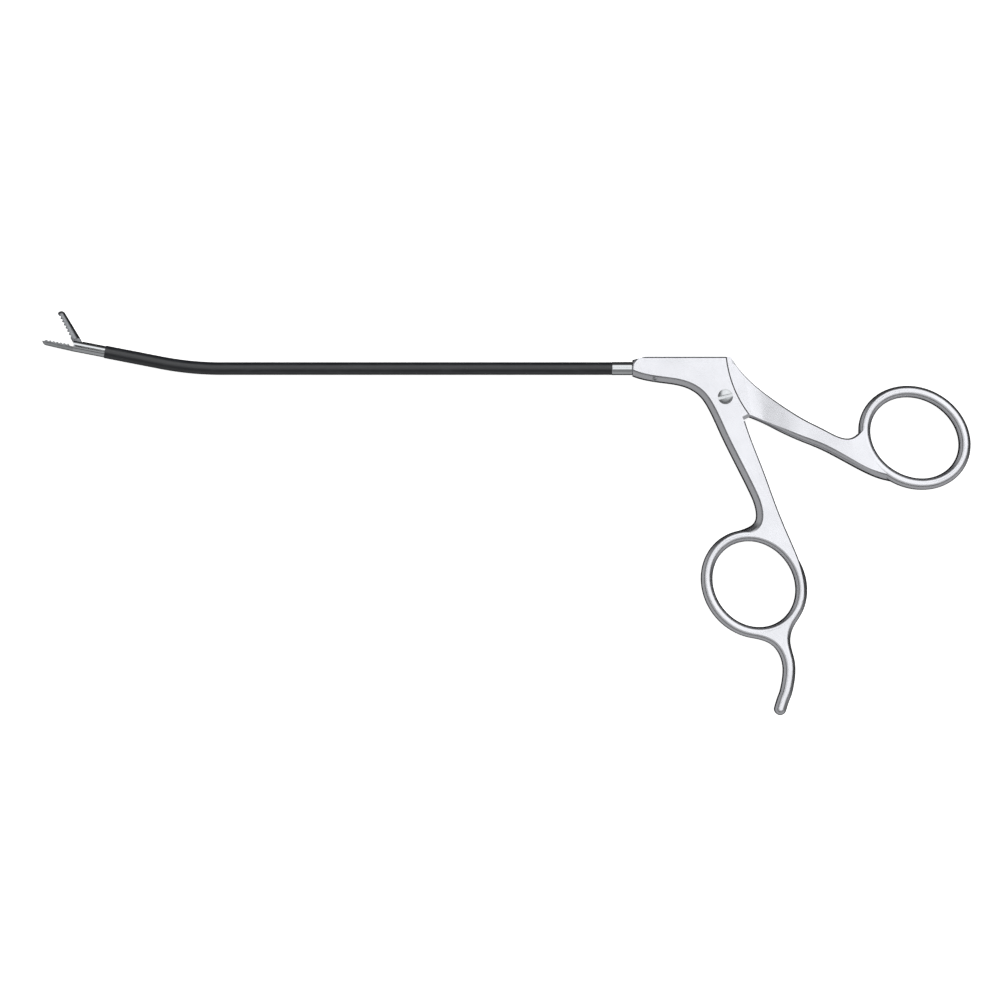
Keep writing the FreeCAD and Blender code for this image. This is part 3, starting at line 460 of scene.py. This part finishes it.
def pale_paper(name, colour):
    """Matt white backdrop board, lit from below like a light table, faintly uneven like paper."""
    pulp_width = 20 * MM
    base = linear(colour)
    material, tree, surface = new_material(
        name, Roughness=0.9, Specular_IOR_Level=0.0, Emission_Strength=0.85)
    place = add(tree, "ShaderNodeTexCoord").outputs["Object"]
    pulp = add(tree, "ShaderNodeTexNoise", None, {"Vector": place, "Scale": 1 / pulp_width})
    tone = add(tree, "ShaderNodeValToRGB", None, {"Fac": pulp},
               [(NOISE_LOW, shade(base, 0.995)), (NOISE_HIGH, base)])
    feed(tree, surface, {"Base Color": tone, "Emission Color": tone})
    return material


def grid_mesh(name, points, closed_u, closed_v, uv=None):
    """A mesh from an array of points (rows v, columns u, 3): quads between neighbours."""
    rows, columns = points.shape[:2]
    index = np.arange(rows * columns).reshape(rows, columns)
    if closed_v:
        index = np.vstack([index, index[:1]])
    if closed_u:
        index = np.hstack([index, index[:, :1]])
    corners = [index[:-1, :-1], index[:-1, 1:], index[1:, 1:], index[1:, :-1]]
    quads = np.stack(corners, axis=-1).reshape(-1, 4)
    mesh = bpy.data.meshes.new(name)
    mesh.from_pydata(points.reshape(-1, 3), [], quads)
    if uv is not None:
        layer = mesh.uv_layers.new(name="shaft")
        layer.data.foreach_set("uv", uv.astype(np.float32).ravel())
    mesh.polygons.foreach_set("use_smooth", np.ones(len(quads), dtype=bool))
    mesh.update()
    return mesh


def quad_uv(u_edges, v_edges):
    """Corner UVs of a grid's quads, from the U of its columns' edges and the V of its rows'."""
    left, right = u_edges[:-1], u_edges[1:]
    low, high = v_edges[:-1], v_edges[1:]
    corners = np.empty((len(low), len(left), 4, 2))
    corners[..., 0, 0] = corners[..., 3, 0] = left[None, :]
    corners[..., 1, 0] = corners[..., 2, 0] = right[None, :]
    corners[..., 0, 1] = corners[..., 1, 1] = low[:, None]
    corners[..., 2, 1] = corners[..., 3, 1] = high[:, None]
    return corners


def shaft_path(s, settings, start):
    """Centre line of the shaft: straight along -X, then an arc, then straight again.

    s is the distance from the start. Within the arc the direction turns by s over the bend
    radius, and the place is the arc's start plus R sin a along the shaft and R (1 - cos a)
    across it. Returns the places and the direction across, in the plane of the handles.
    """
    radius, angle = settings.bend_radius, settings.bend_angle
    straight = start - settings.bend_start
    turn = np.clip((s - straight) / radius, 0.0, angle)
    before = np.clip(s, 0.0, straight)
    after = np.clip(s - straight - radius * angle, 0.0, None)
    x = start - before - radius * np.sin(turn) - after * np.cos(angle)
    y = SHAFT_Y + radius * (1 - np.cos(turn)) + after * np.sin(angle)
    across = np.stack([np.sin(turn), np.cos(turn), np.zeros_like(turn)], axis=-1)
    return np.stack([x, y, np.full_like(x, SHAFT_Z)], axis=-1), across


def rounded_wall(length, inner, outer, rim, steps, stations):
    """Closed profile of a tube wall with rounded outer rims, as places along s and radii r.

    It runs up the near end face, over a quarter circle of the rim's radius, along the outside,
    over the far quarter circle, down the far end face and back along the bore.
    """
    quarter = np.linspace(0, math.pi / 2, steps)
    near_s = rim - rim * np.cos(quarter)
    near_r = outer - rim + rim * np.sin(quarter)
    out_s = np.linspace(rim, length - rim, stations)[1:-1]
    bore_s = out_s[::-BORE_SPACING]
    s = np.concatenate([[0.0], near_s, out_s, length - near_s[::-1], [length], bore_s])
    r = np.concatenate([[inner], near_r, np.full_like(out_s, outer), near_r[::-1], [inner],
                        np.full_like(bore_s, inner)])
    return s, r


def swept_wall(name, s, r, places, across, around):
    """A closed tube wall: radius r turned about the path at s.

    Each point is the path's place plus r times (cos a across plus sin a up), a full turn in a.
    """
    angle = np.linspace(0, 2 * math.pi, around, endpoint=False)
    up = np.array([0.0, 0.0, 1.0])
    cosine, sine = np.cos(angle)[None, :, None], np.sin(angle)[None, :, None]
    ring = cosine * across[:, None, :] + sine * up
    points = places[:, None, :] + r[:, None, None] * ring
    lap = np.concatenate([s, s[:1]])
    uv = quad_uv(np.linspace(0, 2 * math.pi * r.max(), around + 1), lap)
    return grid_mesh(name, points, True, True, uv)


def place_piece(name, mesh, material, body, slot, *nodes):
    """Put a finished mesh into the scene at the origin, on its body, in place of its nodes."""
    piece = bpy.data.objects.new(name, mesh)
    bpy.context.scene.collection.objects.link(piece)
    mesh.materials.append(material)
    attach(piece, body)
    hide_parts(*nodes)
    return piece


def give_material(material, *nodes):
    """Give carried-over CAD nodes a material."""
    for name in nodes:
        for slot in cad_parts[name].material_slots:
            slot.material = material


class FORCEPS_OT_handles(bpy.types.Operator):
    """Give both forged handles their brushed satin steel"""
    bl_idname = "forceps.handles"
    bl_label = "Handles"

    def execute(self, context):
        steel = context.scene.forceps_steel
        for node, angle in BRUSH_ANGLES.items():
            material = satin_steel("brushed_satin_steel_" + node, steel.handle_colour,
                                   steel.handle_roughness, steel.brush_width, angle)
            give_material(material, node)
        return {"FINISHED"}


class FORCEPS_OT_screws(bpy.types.Operator):
    """Give the screws and pins their turned steel"""
    bl_idname = "forceps.screws"
    bl_label = "Screws and pins"

    def execute(self, context):
        steel = context.scene.forceps_steel
        for node in SCREW_NODES:
            low, high = span(node)
            material = turned_steel(
                "turned_steel_" + node, steel.jaw_colour, roughness=0.24,
                pitch=steel.tooling_pitch, centre=(low + high) / 2, axis="Z")
            give_material(material, node)
        return {"FINISHED"}


class FORCEPS_OT_jaws(bpy.types.Operator):
    """Give the jaws and their housing polished and ground steel"""
    bl_idname = "forceps.jaws"
    bl_label = "Jaws"

    def execute(self, context):
        steel = context.scene.forceps_steel
        # Each jaw's ground grey: painted lighter on the lower jaw as painted light, and painted
        # darker on the upper jaw as painted shade.
        colours = {"jaw_housing": steel.lower_jaw_painted_light_colour, "upper_jaw": steel.upper_jaw_painted_shade_colour}
        angle = context.scene.forceps_sleeve.bend_angle
        along = Vector((-math.cos(angle), math.sin(angle), 0))
        low, high = span("jaw_pivot_pin")
        pivot = float(np.dot((low + high) / 2, along))
        for node, start in GRIND_STARTS.items():
            material = jaw_steel("ground_jaw_steel_" + node, steel.jaw_colour, colours[node],
                                 pivot + start, along)
            give_material(material, node)
        return {"FINISHED"}


class FORCEPS_OT_inner_train(bpy.types.Operator):
    """Give the tubes, rods and bushes inside the shaft their finishes"""
    bl_idname = "forceps.inner_train"
    bl_label = "Inner drive train"

    def execute(self, context):
        colour = context.scene.forceps_steel.drawn_colour
        give_material(drawn_steel("drawn_annealed_steel", colour), *DRAWN_NODES)
        give_material(moulded_fluoropolymer("extruded_fluoropolymer"), *PLASTIC_NODES)
        return {"FINISHED"}


class FORCEPS_OT_sleeve(bpy.types.Operator):
    """Make the black insulation that follows the shaft and its bend"""
    bl_idname = "forceps.sleeve"
    bl_label = "Insulation sleeve"

    def execute(self, context):
        settings = context.scene.forceps_sleeve
        start = float(COLLAR_LOW[0])
        straight = start - settings.bend_start
        length = straight + settings.bend_radius * settings.bend_angle + settings.tip_run
        s, r = rounded_wall(length, settings.inner_radius, settings.outer_radius, settings.rim,
                            steps=6, stations=420)
        # The outside shrinks by the product of two sine waves, taken as positive.
        short, long = RIPPLE_LENGTHS
        ripple = RIPPLE_DEPTH * np.sin(s / short) * np.sin(s / long + RIPPLE_PHASE)
        outside = np.isclose(r, settings.outer_radius)
        skin = r - np.where(outside, np.abs(ripple), 0.0)
        places, across = shaft_path(s, settings, start)
        mesh = swept_wall("sleeve_skin", s, skin, places, across, around=72)
        material = extruded_insulation(
            "black_polyolefin_insulation", settings.colour, settings.worn_colour)
        place_piece("sleeve_skin", mesh, material, "root", "black_sleeve", "insulation_sleeve")
        return {"FINISHED"}


class FORCEPS_OT_collar(bpy.types.Operator):
    """Make the bright turned collar between nose and insulation"""
    bl_idname = "forceps.collar"
    bl_label = "Shaft collar"

    def execute(self, context):
        settings = context.scene.forceps_collar
        shaft = context.scene.forceps_sleeve
        steel = context.scene.forceps_steel
        start = float(COLLAR_HIGH[0])
        length = float(COLLAR_HIGH[0] - COLLAR_LOW[0])
        s, r = rounded_wall(length, shaft.inner_radius, settings.radius, settings.rim,
                            settings.rim_steps, stations=60)
        places, across = shaft_path(s, shaft, start)
        mesh = swept_wall("bright_collar", s, r, places, across, around=96)
        material = turned_steel(
            "turned_bright_steel_collar", steel.jaw_colour, roughness=0.07,
            pitch=steel.tooling_pitch, centre=(0, SHAFT_Y, SHAFT_Z), axis="X")
        place_piece("bright_collar", mesh, material, "root", "polished_steel", "shaft_ferrule")
        return {"FINISHED"}


class FORCEPS_OT_stage(bpy.types.Operator):
    """Lay the pale floor, light the studio and set the camera straight above"""
    bl_idname = "forceps.stage"
    bl_label = "Stage"

    def execute(self, context):
        settings = context.scene.forceps_stage
        self.floor(context, settings)
        self.sky(context, settings)
        self.key(context, settings)
        self.camera(context, settings)
        context.scene.view_settings.view_transform = "Standard"
        return {"FINISHED"}

    def floor(self, context, settings):
        """A flat square under the flats: x is u and y is v, half its size to each side."""
        half = settings.floor_size / 2
        u, v = np.meshgrid([-half, half], [-half, half])
        level = CAD_BOX[0][2] - settings.floor_gap
        points = np.stack([u, v, np.full_like(u, level)], axis=-1)
        mesh = grid_mesh("floor", points, False, False)
        mesh.materials.append(pale_paper("white_backdrop_board", settings.floor_colour))
        floor = bpy.data.objects.new("floor", mesh)
        floor.visible_glossy = False
        context.scene.collection.objects.link(floor)

    def sky(self, context, settings):
        """A studio dome, as a brightness of the direction.

        The ground level rises from the dark side, under the light, to the grey reflector
        opposite. A gap over the reflector darkens it, and it fades straight below. The cap
        lifts it to the bright level about the light, and the boom, a dark bar beside the
        zenith, is multiplied in last.
        """
        world = bpy.data.worlds.new("studio_dome")
        world.use_nodes = True
        context.scene.world = world
        tree = world.node_tree
        tree.nodes.clear()
        light = Vector(settings.light_from).normalized()
        opposite = Vector((-light.x, -light.y, 0)).normalized()
        multiply, multiply_add = {"operation": "MULTIPLY"}, {"operation": "MULTIPLY_ADD"}
        direction = add(tree, "ShaderNodeTexCoord").outputs["Generated"]
        parts = add(tree, "ShaderNodeSeparateXYZ", None, {0: direction}).outputs
        along, height = parts["Y"], parts["Z"]
        sideways = add(tree, "ShaderNodeMath", multiply_add,
                       {0: along, 1: -BOOM_LEAN, 2: parts["X"]})
        lit, away = [
            add(tree, "ShaderNodeVectorMath", {"operation": "DOT_PRODUCT"},
                {0: direction, 1: axis}).outputs["Value"] for axis in (light, opposite)]

        # Each edge is a smooth step: what it follows, where it starts and ends, and its level
        # before and after.
        edges = {
            "reflector": (away, -0.45, 0.20, settings.shade_level, settings.side_level),
            "below": (height, -0.62, -0.38, 0.0, 1.0),
            "gap_foot": (height, 0.60, 0.66, 0.0, 1.0),
            "gap_top": (height, 0.76, 0.82, 1.0, 0.0),
            "cap_rim": (lit, 0.64, 0.86, 0.0, 1.0),
            "cap_foot": (height, 0.20, 0.68, 0.0, 1.0),
            "boom_left": (sideways, -0.125, -0.113, 0.0, 1.0),
            "boom_right": (sideways, -0.080, -0.068, 1.0, 0.0),
            "boom_near": (along, -0.22, -0.14, 0.0, 1.0),
            "boom_far": (along, 0.42, 0.50, 1.0, 0.0),
            "boom_foot": (height, 0.0, 0.1, 0.0, 1.0),
        }
        step = {}
        for name, (follows, start, end, before, after) in edges.items():
            step[name] = add(
                tree, "ShaderNodeMapRange", {"interpolation_type": "SMOOTHSTEP"},
                {"Value": follows, "From Min": start, "From Max": end, "To Min": before,
                 "To Max": after})

        # Each form is the product of its edges.
        forms = {
            "gap": ("gap_foot", "gap_top"),
            "cap": ("cap_rim", "cap_foot"),
            "boom": ("boom_left", "boom_right", "boom_near", "boom_far", "boom_foot"),
        }
        form = {}
        for name, (first, *others) in forms.items():
            form[name] = step[first]
            for other in others:
                form[name] = add(tree, "ShaderNodeMath", multiply,
                                 {0: form[name], 1: step[other]})

        shadow = add(tree, "ShaderNodeMath", multiply_add,
                     {0: form["gap"], 1: -GAP_DEPTH, 2: 1.0})
        under_gap = add(tree, "ShaderNodeMath", multiply, {0: step["reflector"], 1: shadow})
        ground = add(tree, "ShaderNodeMath", multiply, {0: under_gap, 1: step["below"]})
        lift = add(tree, "ShaderNodeMath", {"operation": "SUBTRACT"},
                   {0: settings.cap_level, 1: ground})
        dome = add(tree, "ShaderNodeMath", multiply_add,
                   {0: form["cap"], 1: lift, 2: ground})
        passed = add(tree, "ShaderNodeMath", multiply_add,
                     {0: form["boom"], 1: settings.boom_level - 1.0, 2: 1.0})
        level = add(tree, "ShaderNodeMath", multiply, {0: dome, 1: passed})
        glow = add(tree, "ShaderNodeBackground", None, {"Color": DOME_TINT, "Strength": level})
        add(tree, "ShaderNodeOutputWorld", None, {"Surface": glow})

    def key(self, context, settings):
        """A large soft key light from the upper right, which no metal mirrors."""
        lamp = bpy.data.lights.new("key_softbox", "AREA")
        lamp.shape = "RECTANGLE"
        lamp.size, lamp.size_y = KEY_SIZE
        lamp.energy = settings.key_power
        holder = bpy.data.objects.new("key_softbox", lamp)
        holder.location = KEY_PLACE
        aim = Vector(KEY_AIM) - Vector(KEY_PLACE)
        holder.rotation_euler = aim.to_track_quat("-Z", "Y").to_euler()
        holder.visible_camera = False
        holder.visible_glossy = False
        context.scene.collection.objects.link(holder)

    def camera(self, context, settings):
        """The camera straight above, with the picture's width at the top of the instrument.

        The lens is the sensor's width times the distance over the picture's width.
        """
        distance = settings.camera_height - CAD_BOX[1][2]
        camera = bpy.data.cameras.new("photo_camera")
        camera.sensor_width = SENSOR_WIDTH
        camera.lens = SENSOR_WIDTH * distance / settings.picture_width
        camera.clip_end = FAR_CLIP
        holder = bpy.data.objects.new("photo_camera", camera)
        holder.location = (*settings.camera_centre, settings.camera_height)
        context.scene.collection.objects.link(holder)
        context.scene.camera = holder


class FORCEPS_PT_panel(bpy.types.Panel):
    """Lists the settings and the pieces"""
    bl_idname = "FORCEPS_PT_panel"
    bl_label = "Grasping forceps"
    bl_space_type = "VIEW_3D"
    bl_region_type = "UI"
    bl_category = "Forceps"

    def draw(self, context):
        for group in GROUPS:
            box = self.layout.box()
            settings = getattr(context.scene, group)
            for name in settings.__annotations__:
                box.prop(settings, name)
        for step in STEPS:
            self.layout.operator(step.bl_idname)


GROUPS = {
    "forceps_stage": StageSettings,
    "forceps_steel": SteelSettings,
    "forceps_sleeve": SleeveSettings,
    "forceps_collar": CollarSettings,
}
STEPS = (
    FORCEPS_OT_handles,
    FORCEPS_OT_screws,
    FORCEPS_OT_jaws,
    FORCEPS_OT_inner_train,
    FORCEPS_OT_sleeve,
    FORCEPS_OT_collar,
    FORCEPS_OT_stage,
)


def register():
    """Register the classes, and give the scene its settings."""
    for made in (*GROUPS.values(), *STEPS, FORCEPS_PT_panel):
        bpy.utils.register_class(made)
    for name, group in GROUPS.items():
        setattr(bpy.types.Scene, name, PointerProperty(type=group))


def unregister():
    """Take the settings and the classes away again."""
    for name in GROUPS:
        delattr(bpy.types.Scene, name)
    for made in (FORCEPS_PT_panel, *reversed(STEPS), *reversed(tuple(GROUPS.values()))):
        bpy.utils.unregister_class(made)


def main():
    """Register the classes, and make every piece in order."""
    register()
    bpy.ops.forceps.handles()
    bpy.ops.forceps.screws()
    bpy.ops.forceps.jaws()
    bpy.ops.forceps.inner_train()
    bpy.ops.forceps.sleeve()
    bpy.ops.forceps.collar()
    bpy.ops.forceps.stage()


if __name__ == "__main__":
    main()
